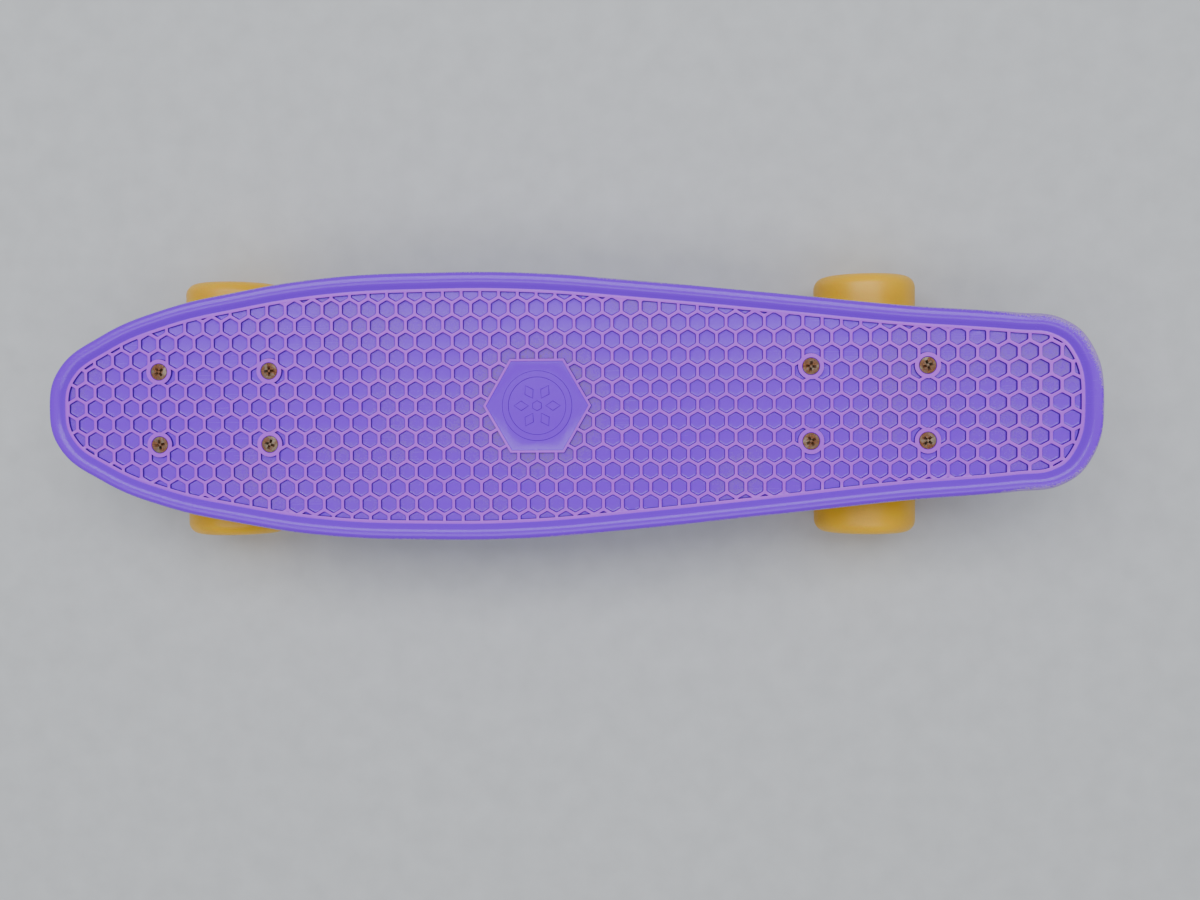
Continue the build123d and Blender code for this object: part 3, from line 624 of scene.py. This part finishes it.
def build_bolt(head_z, end_z, turn):
    """One countersunk bolt on the Z axis with a tapered cross recess and a threaded end."""
    shaft, head = SHAFT_RADIUS, HEAD_RADIUS
    neck = head_z - (head - shaft) / math.tan(math.radians(HEAD_ANGLE))
    profile = [(head_z, 0), (head_z, head - 0.45 * MM), (head_z - 0.12 * MM, head - 0.1 * MM)]
    profile += [(head_z - 0.35 * MM, head - 0.28 * MM), (neck, shaft)]
    place = end_z + THREAD_LENGTH
    while place > end_z + 1.2 * MM:
        profile += [(place, shaft), (place - THREAD_STEP / 2, shaft - THREAD_DEPTH)]
        place -= THREAD_STEP
    profile += [(end_z + 0.6 * MM, shaft - 0.1 * MM), (end_z, shaft - 0.6 * MM), (end_z, 0)]
    bolt = turned_piece(profile, 32)
    bmesh.ops.rotate(bolt, verts=bolt.verts, matrix=Matrix.Rotation(math.radians(90), 3, "X"))
    cross = bmesh.new()
    for quarter in (0, 90):
        made = bmesh.ops.create_cube(cross, size=1)["verts"]
        for vertex in made:
            deep = vertex.co.z < 0
            vertex.co.x *= (2.6 if deep else 6.0) * MM
            vertex.co.y *= (0.9 if deep else 1.5) * MM
            vertex.co.z = head_z + (-2.3 if deep else 0.2) * MM
        bmesh.ops.rotate(cross, verts=made, matrix=Matrix.Rotation(turn + math.radians(quarter), 3, "Z"))
    return combine(bolt, cross, "DIFFERENCE")


def merge_in(target, part, place):
    """Adds one bmesh to another at a place and frees it."""
    bmesh.ops.translate(part, verts=part.verts, vec=place)
    mesh = bpy.data.meshes.new("part")
    part.to_mesh(mesh)
    part.free()
    target.from_mesh(mesh)
    bpy.data.meshes.remove(mesh)


def cast_copy(node, name, voxel):
    """A CAD node's shape as a casting: rounded in its corners and edges by a fine remesh."""
    bm = bmesh.new()
    bm.from_mesh(frame["nodes"][node].data)
    bmesh.ops.remove_doubles(bm, verts=bm.verts, dist=1e-6)
    piece = mesh_piece(name, bm, 180)
    remesh = piece.modifiers.new("remesh", "REMESH")
    remesh.mode = "VOXEL"
    remesh.voxel_size = voxel
    smooth = piece.modifiers.new("smooth", "SMOOTH")
    smooth.iterations = 5
    thin = piece.modifiers.new("thin", "DECIMATE")
    thin.ratio = 0.3
    done = bpy.data.meshes.new_from_object(piece.evaluated_get(bpy.context.evaluated_depsgraph_get()))
    rough = piece.data
    piece.modifiers.clear()
    piece.data = done
    bpy.data.meshes.remove(rough)
    done.name = name
    done.shade_smooth()
    return piece


# Materials


def add_node(tree, kind, inputs=None, **settings):
    """A node with its settings, and its inputs set to values or linked from sockets."""
    item = tree.nodes.new(kind)
    for key, value in settings.items():
        setattr(item, key, value)
    for socket, value in (inputs or {}).items():
        if isinstance(value, bpy.types.NodeSocket):
            tree.links.new(value, item.inputs[socket])
        else:
            item.inputs[socket].default_value = value
    return item


def new_material(name, inputs):
    """An empty material with a Principled shader carrying its constant values."""
    material = bpy.data.materials.new(name)
    material.use_nodes = True
    tree = material.node_tree
    tree.nodes.clear()
    shader = add_node(tree, "ShaderNodeBsdfPrincipled", inputs)
    output = add_node(tree, "ShaderNodeOutputMaterial")
    tree.links.new(shader.outputs["BSDF"], output.inputs["Surface"])
    return material, tree, shader


def rgba(colour):
    return (*colour, 1.0)


def object_coordinates(tree):
    return add_node(tree, "ShaderNodeTexCoord").outputs["Object"]


def noise(tree, scale, detail=3.0, roughness=0.5, vector=None):
    inputs = {"Scale": scale, "Detail": detail, "Roughness": roughness}
    inputs["Vector"] = vector or object_coordinates(tree)
    return add_node(tree, "ShaderNodeTexNoise", inputs).outputs["Fac"]


def ramp(tree, value, low, high, to_low=0.0, to_high=1.0):
    """Value remapped from low..high to to_low..to_high, clamped."""
    item = add_node(
        tree, "ShaderNodeMapRange",
        {"Value": value, "From Min": low, "From Max": high, "To Min": to_low, "To Max": to_high},
    )
    return item.outputs["Result"]


def math_node(tree, operation, first, second=0.0):
    return add_node(tree, "ShaderNodeMath", {0: first, 1: second}, operation=operation).outputs["Value"]


def mix_colour(tree, factor, first, second):
    item = add_node(tree, "ShaderNodeMix", {"Factor": factor}, data_type="RGBA")
    for socket, value in ((MIX_A, first), (MIX_B, second)):
        if isinstance(value, bpy.types.NodeSocket):
            tree.links.new(value, item.inputs[socket])
        else:
            item.inputs[socket].default_value = value
    return item.outputs[MIX_RESULT]


def bump(tree, height, strength, distance, normal=None):
    inputs = {"Height": height, "Strength": strength, "Distance": distance}
    if normal:
        inputs["Normal"] = normal
    return add_node(tree, "ShaderNodeBump", inputs).outputs["Normal"]


def new_group(name, inputs, outputs):
    """An empty shader node group; sockets are given as name: (kind, default)."""
    group = bpy.data.node_groups.new(name, "ShaderNodeTree")
    for label, (kind, default) in inputs.items():
        socket = group.interface.new_socket(label, in_out="INPUT", socket_type=f"NodeSocket{kind}")
        socket.default_value = default
    for label, kind in outputs.items():
        group.interface.new_socket(label, in_out="OUTPUT", socket_type=f"NodeSocket{kind}")
    return group, group.nodes.new("NodeGroupInput").outputs, group.nodes.new("NodeGroupOutput").inputs


def use_group(tree, name, inputs):
    """A shared group placed in a material, made on first use."""
    group = bpy.data.node_groups.get(name) or GROUPS[name]()
    item = tree.nodes.new("ShaderNodeGroup")
    item.node_tree = group
    for socket, value in inputs.items():
        if isinstance(value, bpy.types.NodeSocket):
            tree.links.new(value, item.inputs[socket])
        else:
            item.inputs[socket].default_value = value
    return item.outputs


def grain_group():
    """Fine surface grain: a mask and a matching normal."""
    group, source, result = new_group(
        "surface_grain",
        {"Scale": ("Float", 500.0), "Strength": ("Float", 0.1)},
        {"Mask": "Float", "Normal": "Vector"},
    )
    fine = noise(group, source["Scale"], 4.0, 0.6)
    group.links.new(ramp(group, fine, 0.3, 0.7), result["Mask"])
    group.links.new(bump(group, fine, source["Strength"], 0.0002), result["Normal"])
    return group


def dust_group():
    """Dust lying in patches."""
    group, source, result = new_group(
        "settled_dust",
        {"Colour": ("Color", (0, 0, 0, 1)), "Dust": ("Color", (0.3, 0.26, 0.2, 1)), "Amount": ("Float", 0.3)},
        {"Colour": "Color", "Mask": "Float"},
    )
    broad = ramp(group, noise(group, 45.0, 4.0), 0.38, 0.68)
    fine = ramp(group, noise(group, 800.0, 3.0, 0.7), 0.35, 0.65, 0.4, 1.0)
    mask = math_node(group, "MULTIPLY", math_node(group, "MULTIPLY", broad, fine), source["Amount"])
    group.links.new(mix_colour(group, mask, source["Colour"], source["Dust"]), result["Colour"])
    group.links.new(mask, result["Mask"])
    return group


def rust_group():
    """Rust bloom: dark brown with orange freckles."""
    group, source, result = new_group(
        "rust_bloom",
        {"Colour": ("Color", (0.5, 0.5, 0.5, 1)), "Amount": ("Float", 0.5)},
        {"Colour": "Color", "Mask": "Float"},
    )
    broad = noise(group, 260.0, 5.0, 0.65)
    freckle = noise(group, 1500.0, 3.0, 0.6)
    edge = math_node(group, "SUBTRACT", 0.85, math_node(group, "MULTIPLY", source["Amount"], 0.6))
    mask = ramp(group, broad, math_node(group, "SUBTRACT", edge, 0.16), edge)
    rust = mix_colour(group, ramp(group, freckle, 0.4, 0.65), (0.10, 0.032, 0.012, 1), (0.38, 0.13, 0.03, 1))
    group.links.new(mix_colour(group, mask, source["Colour"], rust), result["Colour"])
    group.links.new(mask, result["Mask"])
    return group


def scratch_group():
    """Fine scratches in one direction, as a mask."""
    group, source, result = new_group(
        "fine_scratches", {"Amount": ("Float", 0.5)}, {"Mask": "Float"}
    )
    mapped = add_node(
        group, "ShaderNodeMapping",
        {"Vector": object_coordinates(group), "Rotation": (0.0, 0.0, 0.5), "Scale": (25.0, 900.0, 300.0)},
    ).outputs["Vector"]
    streak = noise(group, 1.0, 2.0, 0.5, mapped)
    patch = ramp(group, noise(group, 14.0, 2.0), 0.45, 0.65)
    mask = math_node(group, "MULTIPLY", ramp(group, streak, 0.62, 0.72), patch)
    group.links.new(math_node(group, "MULTIPLY", mask, source["Amount"]), result["Mask"])
    return group


GROUPS = {
    "surface_grain": grain_group,
    "settled_dust": dust_group,
    "rust_bloom": rust_group,
    "fine_scratches": scratch_group,
}


def deck_plastic(sizes):
    """Glossy moulded plastic: rubbed rib tops, dirt in the cells, painted shade on the cell walls and the badge's
    raised sides, and an abraded outer edge.
    """
    material, tree, shader = new_material("deck_plastic", {"IOR": 1.46})
    relief = add_node(tree, "ShaderNodeAttribute", attribute_name="relief").outputs["Fac"]
    inward = add_node(tree, "ShaderNodeAttribute", attribute_name="inward").outputs["Fac"]
    along = add_node(tree, "ShaderNodeSeparateXYZ", {"Vector": object_coordinates(tree)}).outputs["X"]
    broad = noise(tree, 18.0, 4.0)
    grain = use_group(tree, "surface_grain", {"Scale": 900.0, "Strength": 0.10})
    speck = noise(tree, 1100.0, 4.0, 0.7)

    inside = ramp(tree, inward, 9.0, 9.5)
    cells = add_node(tree, "ShaderNodeAttribute", attribute_name="cells").outputs["Fac"]
    rubbed = math_node(tree, "MULTIPLY", ramp(tree, relief, -0.25, 0.0), inside)
    rubbed = math_node(tree, "MULTIPLY", rubbed, ramp(tree, broad, 0.25, 0.65, 0.65, 1.0))
    colour = mix_colour(tree, rubbed, rgba(sizes.colour), rgba(sizes.worn_colour))
    from_badge = add_node(
        tree, "ShaderNodeVectorMath",
        {0: object_coordinates(tree), 1: (DECK_MIDDLE_X, 0.0, TOP_Z)}, operation="DISTANCE",
    ).outputs["Value"]
    near_badge = ramp(tree, from_badge, 0.044, 0.024)
    panel = PROUD / MM + sum(depth for _, depth in BADGE_STEPS)
    crest = panel + BADGE_RELIEF / MM
    # painted shade: the sloping sides of the badge's raised ring, petals and hub take up to 75% of the dark shade
    # colour
    painted_step_shade = math_node(
        tree, "MULTIPLY", ramp(tree, relief, panel, panel + 0.05), ramp(tree, relief, crest - 0.04, crest - 0.09)
    )
    painted_step_shade = math_node(tree, "MULTIPLY", painted_step_shade, ramp(tree, from_badge, 0.0205, 0.0203, 0.0, 0.75))
    floor = -sizes.cell_depth / MM
    # painted shade: every cell wall between rib top and floor takes the dark shade colour, in place of the shade and
    # dark reflections in the recesses
    wall = math_node(tree, "MULTIPLY", ramp(tree, relief, -0.12, -0.3), ramp(tree, relief, floor + 0.12, floor + 0.3))
    wall = math_node(tree, "MULTIPLY", wall, cells)
    painted_shade_mask = math_node(tree, "MAXIMUM", wall, painted_step_shade)
    colour = mix_colour(tree, painted_shade_mask, colour, rgba(sizes.painted_shade_colour))

    sunk = math_node(tree, "MULTIPLY", ramp(tree, relief, floor + 0.10, floor + 0.02, 0.35, 1.0), cells)
    sunk = math_node(tree, "MULTIPLY", sunk, ramp(tree, relief, floor + 0.5, floor + 0.25))
    dirt_amount = math_node(tree, "MAXIMUM", ramp(tree, broad, 0.45, 0.66, 0.03, 0.5), near_badge)
    dirt = math_node(tree, "MULTIPLY", sunk, ramp(tree, speck, 0.4, 0.6, 0.25, 1.0))
    dirt = math_node(tree, "MULTIPLY", dirt, dirt_amount)
    colour = mix_colour(tree, dirt, colour, rgba(sizes.dirt_colour))

    tail_wear = ramp(tree, along, 0.23, 0.285, 1.0, 4.2)
    reach = math_node(tree, "MULTIPLY", ramp(tree, broad, 0.35, 0.62, 0.4, 1.5), tail_wear)
    fringe = math_node(tree, "DIVIDE", inward, reach)
    fringe = math_node(tree, "SUBTRACT", ramp(tree, fringe, 1.0, 0.0), ramp(tree, speck, 0.35, 0.65, 0.75, 0.0))
    abraded = math_node(tree, "MULTIPLY", ramp(tree, fringe, 0.0, 0.25), ramp(tree, relief, -4.5, -1.2, 0.1, 0.8))
    colour = mix_colour(tree, abraded, colour, rgba(sizes.abraded_colour))
    tree.links.new(colour, shader.inputs["Base Color"])

    scratches = use_group(tree, "fine_scratches", {"Amount": 0.25})["Mask"]
    rough = ramp(tree, grain["Mask"], 0.0, 1.0, 0.16, 0.26)
    for extra, share in ((rubbed, 0.16), (dirt, 0.4), (abraded, 0.45), (scratches, 1.0)):
        rough = math_node(tree, "ADD", rough, math_node(tree, "MULTIPLY", extra, share))
    tree.links.new(rough, shader.inputs["Roughness"])
    pitted = math_node(tree, "MULTIPLY", abraded, speck)
    tree.links.new(bump(tree, pitted, 0.5, 0.0006, grain["Normal"]), shader.inputs["Normal"])
    return material


def urethane(sizes):
    """Translucent yellow urethane, its tread dulled by dust."""
    material, tree, shader = new_material(
        "wheel_urethane", {"IOR": 1.5, "Subsurface Weight": 0.2, "Subsurface Scale": 0.004}
    )
    grain = use_group(tree, "surface_grain", {"Scale": 1200.0, "Strength": 0.12})
    dust = use_group(
        tree, "settled_dust", {"Colour": rgba(sizes.colour), "Dust": rgba(sizes.tread_colour), "Amount": 0.4}
    )
    tree.links.new(dust["Colour"], shader.inputs["Base Color"])
    tree.links.new(ramp(tree, dust["Mask"], 0.0, 0.6, 0.34, 0.65), shader.inputs["Roughness"])
    tree.links.new(grain["Normal"], shader.inputs["Normal"])
    return material


def metal(name, colour, roughness, scale=700.0, strength=0.08, rust=0.0, dust=0.25):
    """A machined or cast metal with fine grain, some dust, and rust where asked."""
    material, tree, shader = new_material(name, {"Metallic": 1.0})
    grain = use_group(tree, "surface_grain", {"Scale": scale, "Strength": strength})
    dark = tuple(channel * 0.72 for channel in colour)
    patchy = mix_colour(tree, ramp(tree, noise(tree, 90.0, 3.0), 0.35, 0.7), rgba(colour), rgba(dark))
    rough = ramp(tree, grain["Mask"], 0.0, 1.0, roughness, roughness + 0.16)
    bare = None
    if rust:
        bloom = use_group(tree, "rust_bloom", {"Colour": patchy, "Amount": rust})
        patchy, bare = bloom["Colour"], bloom["Mask"]
        rough = math_node(tree, "ADD", rough, math_node(tree, "MULTIPLY", bare, 0.35))
    settled = use_group(tree, "settled_dust", {"Colour": patchy, "Amount": dust})
    covered = settled["Mask"] if bare is None else math_node(tree, "MAXIMUM", bare, settled["Mask"])
    tree.links.new(settled["Colour"], shader.inputs["Base Color"])
    tree.links.new(ramp(tree, covered, 0.0, 1.0, 1.0, 0.15), shader.inputs["Metallic"])
    rough = math_node(tree, "ADD", rough, math_node(tree, "MULTIPLY", settled["Mask"], 0.4))
    tree.links.new(rough, shader.inputs["Roughness"])
    tree.links.new(grain["Normal"], shader.inputs["Normal"])
    return material


def polymer(name, colour, roughness, dust=0.25):
    """A moulded polymer, a little dusty."""
    material, tree, shader = new_material(name, {"IOR": 1.5})
    grain = use_group(tree, "surface_grain", {"Scale": 600.0, "Strength": 0.06})
    dark = tuple(channel * 0.78 for channel in colour)
    mottled = mix_colour(tree, grain["Mask"], rgba(colour), rgba(dark))
    settled = use_group(tree, "settled_dust", {"Colour": mottled, "Amount": dust})
    tree.links.new(settled["Colour"], shader.inputs["Base Color"])
    tree.links.new(ramp(tree, settled["Mask"], 0.0, 0.5, roughness, roughness + 0.25), shader.inputs["Roughness"])
    tree.links.new(grain["Normal"], shader.inputs["Normal"])
    return material


# Operators


class SKATEBOARD_OT_deck(bpy.types.Operator):
    """Moulds the deck: rim, honeycomb, badge, collars, underside ribs and the rising tail"""

    bl_idname = "skateboard.deck"
    bl_label = "Deck"

    def execute(self, context):
        sizes = context.scene.skateboard_deck
        points = outline_loop()
        deck = build_deck(sizes, points)
        bend_tail(deck, sizes, points)
        piece = mesh_piece("deck_shell", deck, 42)
        paint(piece, deck_plastic(sizes))
        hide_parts("deck")
        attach(piece, "board")
        return {"FINISHED"}


class SKATEBOARD_OT_wheels(bpy.types.Operator):
    """Turns the four wheels"""

    bl_idname = "skateboard.wheels"
    bl_label = "Wheels"

    def execute(self, context):
        sizes = context.scene.skateboard_wheel
        finish = urethane(sizes)
        for end in ENDS:
            for side in SIDES:
                stem = f"{end}_{side}"
                wheel = build_wheel(sizes, stem)
                bmesh.ops.translate(wheel, verts=wheel.verts, vec=middle(f"{stem}_wheel"))
                piece = mesh_piece(f"{stem}_tyre", wheel, 35)
                paint(piece, finish)
                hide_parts(f"{stem}_wheel")
                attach(piece, f"{stem}_wheel")
        return {"FINISHED"}


class SKATEBOARD_OT_bolts(bpy.types.Operator):
    """Makes the eight rusty cross-head mounting bolts"""

    bl_idname = "skateboard.bolts"
    bl_label = "Mounting Bolts"

    def execute(self, context):
        finish = metal("mounting_steel", (0.26, 0.20, 0.14), 0.36, rust=0.5)
        turns = {"nose": (12, 38, -20, 4), "tail": (30, -8, 50, 18)}  # of each cross, in degrees
        for end in ENDS:
            low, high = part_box(f"{end}_mounting_bolts")
            bolts = bmesh.new()
            places = [place for place in bolt_places() if abs(place[0] - TRUCK_X[end]) < BOLT_SPACING[0]]
            for (x, y), turn in zip(places, turns[end]):
                merge_in(bolts, build_bolt(high[2], low[2], math.radians(turn)), (x, y, 0))
            piece = mesh_piece(f"{end}_screws", bolts, 30)
            paint(piece, finish)
            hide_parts(f"{end}_mounting_bolts")
            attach(piece, "board")
        return {"FINISHED"}


class SKATEBOARD_OT_castings(bpy.types.Operator):
    """Rounds the hangers and baseplates into castings"""

    bl_idname = "skateboard.castings"
    bl_label = "Castings"

    def execute(self, context):
        finish = metal("cast_aluminium", (0.70, 0.71, 0.72), 0.36, 380.0, 0.22)
        for end in ENDS:
            for kind, body in (("hanger", f"{end}_hanger_set"), ("baseplate", "board")):
                piece = cast_copy(f"{end}_{kind}", f"{end}_cast_{kind}", CASTING_VOXEL)
                paint(piece, finish)
                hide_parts(f"{end}_{kind}")
                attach(piece, body)
        return {"FINISHED"}


class SKATEBOARD_OT_hardware(bpy.types.Operator):
    """Gives the trucks, bearings and fasteners their finishes"""

    bl_idname = "skateboard.hardware"
    bl_label = "Hardware"

    def execute(self, context):
        finishes = {
            "zinc_steel": metal("zinc_steel", (0.62, 0.62, 0.60), 0.30, rust=0.22),
            "axle_steel": metal("axle_steel", (0.55, 0.55, 0.56), 0.25, rust=0.15),
            "bearing_steel": metal("bearing_steel", (0.70, 0.71, 0.73), 0.12),
            "bearing_shield": metal("bearing_shield", (0.60, 0.61, 0.63), 0.25),
            "pivot_plastic": polymer("pivot_plastic", (0.02, 0.02, 0.02), 0.5),
            "bushing_urethane": polymer("bushing_urethane", (0.75, 0.72, 0.64), 0.4),
            "cage_nylon": polymer("cage_nylon", (0.70, 0.66, 0.55), 0.5),
        }
        for row in frame["record"]["subparts"]:
            finish = finishes.get(row["material_slot"])
            if finish:
                paint(frame["nodes"][row["node"]], finish)
        return {"FINISHED"}


class SKATEBOARD_OT_studio(bpy.types.Operator):
    """Sets up the pale floor, the soft lights and the camera"""

    bl_idname = "skateboard.studio"
    bl_label = "Studio"

    def execute(self, context):
        studio = context.scene.skateboard_studio
        bm = bmesh.new()
        bmesh.ops.create_grid(bm, x_segments=1, y_segments=1, size=FLOOR_REACH)
        floor = mesh_piece("studio_floor", bm)
        material, tree, shader = new_material("studio_floor", {"Roughness": 0.8})
        grain = ramp(tree, noise(tree, 60.0, 5.0), 0.3, 0.7)
        pale = rgba(studio.floor_colour)
        dark = rgba([channel * 0.92 for channel in studio.floor_colour])
        tree.links.new(mix_colour(tree, grain, pale, dark), shader.inputs["Base Color"])
        paint(floor, material)
        lights = (
            ("studio_sky", (0.0, 0.68, 1.9), 2.6, 1.0, 33.0, (0.92, 0.95, 1.0)),
            ("studio_fill", (-0.1, -0.72, 1.9), 2.6, 0.7, 13.0, (0.94, 0.96, 1.0)),
        )
        for name, place, width, depth, power, colour in lights:
            data = bpy.data.lights.new(name, "AREA")
            data.shape = "RECTANGLE"
            data.size, data.size_y = width, depth
            data.energy = power
            data.color = colour
            lamp = bpy.data.objects.new(name, data)
            lamp.location = place
            lamp.rotation_euler = (Vector(place) - Vector((0, 0, 0.08))).to_track_quat("Z", "Y").to_euler()
            context.scene.collection.objects.link(lamp)
        world = bpy.data.worlds.new("studio_air")
        world.use_nodes = True
        background = world.node_tree.nodes["Background"]
        background.inputs["Color"].default_value = (0.80, 0.86, 0.95, 1.0)
        background.inputs["Strength"].default_value = 0.34
        context.scene.world = world
        data = bpy.data.cameras.new("studio_camera")
        data.sensor_width = 36.0
        data.lens = studio.lens
        data.clip_start = 0.01
        camera = bpy.data.objects.new("studio_camera", data)
        camera.location = studio.camera_place
        camera.rotation_euler = studio.camera_turn
        context.scene.collection.objects.link(camera)
        context.scene.camera = camera
        return {"FINISHED"}


class SKATEBOARD_PT_panel(bpy.types.Panel):
    """Lists the builders of the skateboard"""

    bl_idname = "SKATEBOARD_PT_panel"
    bl_label = "Skateboard"
    bl_space_type = "VIEW_3D"
    bl_region_type = "UI"
    bl_category = "Skateboard"

    def draw(self, context):
        for builder in BUILDERS:
            self.layout.operator(builder.bl_idname)


SETTINGS = {"skateboard_deck": DeckSettings, "skateboard_wheel": WheelSettings, "skateboard_studio": StudioSettings}
BUILDERS = (
    SKATEBOARD_OT_studio,
    SKATEBOARD_OT_deck,
    SKATEBOARD_OT_bolts,
    SKATEBOARD_OT_castings,
    SKATEBOARD_OT_wheels,
    SKATEBOARD_OT_hardware,
)


def register():
    for name, group in SETTINGS.items():
        bpy.utils.register_class(group)
        setattr(bpy.types.Scene, name, bpy.props.PointerProperty(type=group))
    for part in (*BUILDERS, SKATEBOARD_PT_panel):
        bpy.utils.register_class(part)


def unregister():
    for part in (SKATEBOARD_PT_panel, *reversed(BUILDERS)):
        bpy.utils.unregister_class(part)
    for name, group in SETTINGS.items():
        delattr(bpy.types.Scene, name)
        bpy.utils.unregister_class(group)


def main():
    register()
    bpy.ops.skateboard.studio()
    bpy.ops.skateboard.deck()
    bpy.ops.skateboard.bolts()
    bpy.ops.skateboard.castings()
    bpy.ops.skateboard.wheels()
    bpy.ops.skateboard.hardware()


if __name__ == "__main__":
    main()
